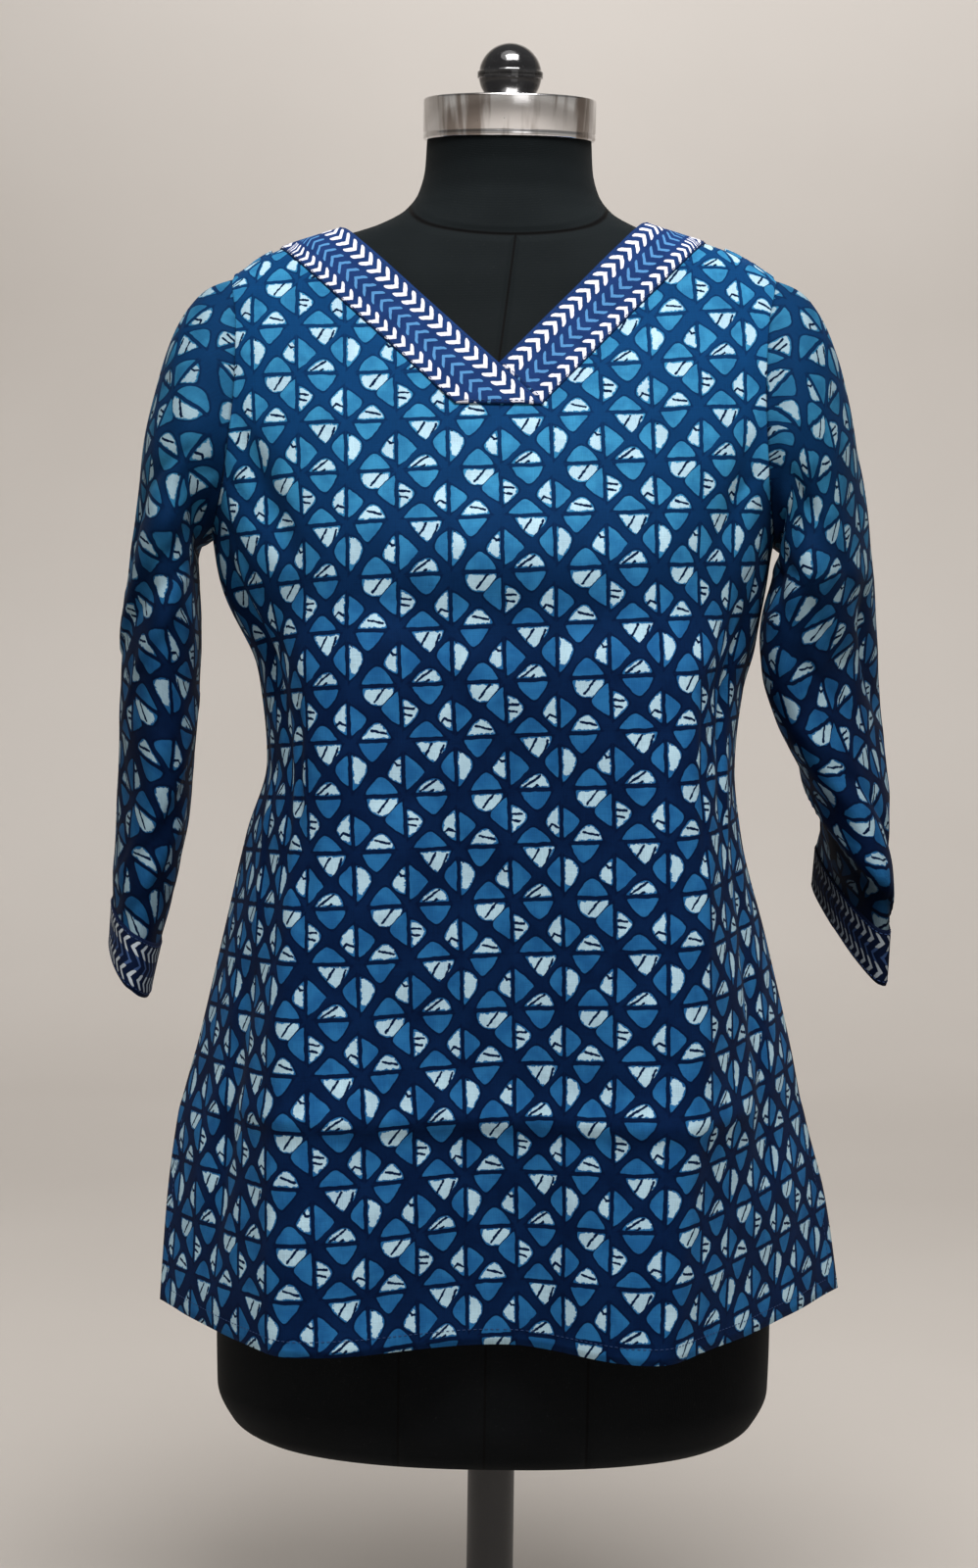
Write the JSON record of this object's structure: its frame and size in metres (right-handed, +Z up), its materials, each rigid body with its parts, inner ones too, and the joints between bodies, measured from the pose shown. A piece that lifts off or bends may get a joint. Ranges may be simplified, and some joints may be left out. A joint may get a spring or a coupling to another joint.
{
  "type": "short top on dress form",
  "caption": "Flared short cotton top with a V neck, border band, three-quarter sleeves and side slits, resting on a limbless dress form on a round-footed post.",
  "frame": {"origin": "centre of the stand's flat underside, on the floor", "axes": "+Z up the post towards the neck, -Y the way the top's front faces, +X towards the wearer's left"},
  "size_m": [0.4917, 0.32, 1.1285],
  "materials": {
    "printed_cotton": "indigo cotton, block printed in white and mid blue, matte",
    "border_cotton": "indigo cotton border with rows of white and light blue chevrons, matte",
    "form_cloth": "black jersey stretched smooth over the form",
    "chrome": "polished",
    "black_plastic": "gloss",
    "black_steel": "satin black paint"
  },
  "bodies": {
    "root": {"front_panel": "printed_cotton", "back_panel": "printed_cotton", "sleeve_left": "printed_cotton", "sleeve_right": "printed_cotton", "cuff_left": "border_cotton", "cuff_right": "border_cotton", "neck_band_left": "border_cotton", "neck_band_right": "border_cotton", "form_torso": "form_cloth", "neck_cap": "chrome", "knob": "black_plastic", "stand_post": "black_steel", "stand_base": "black_steel"}
  },
  "joints": []
}
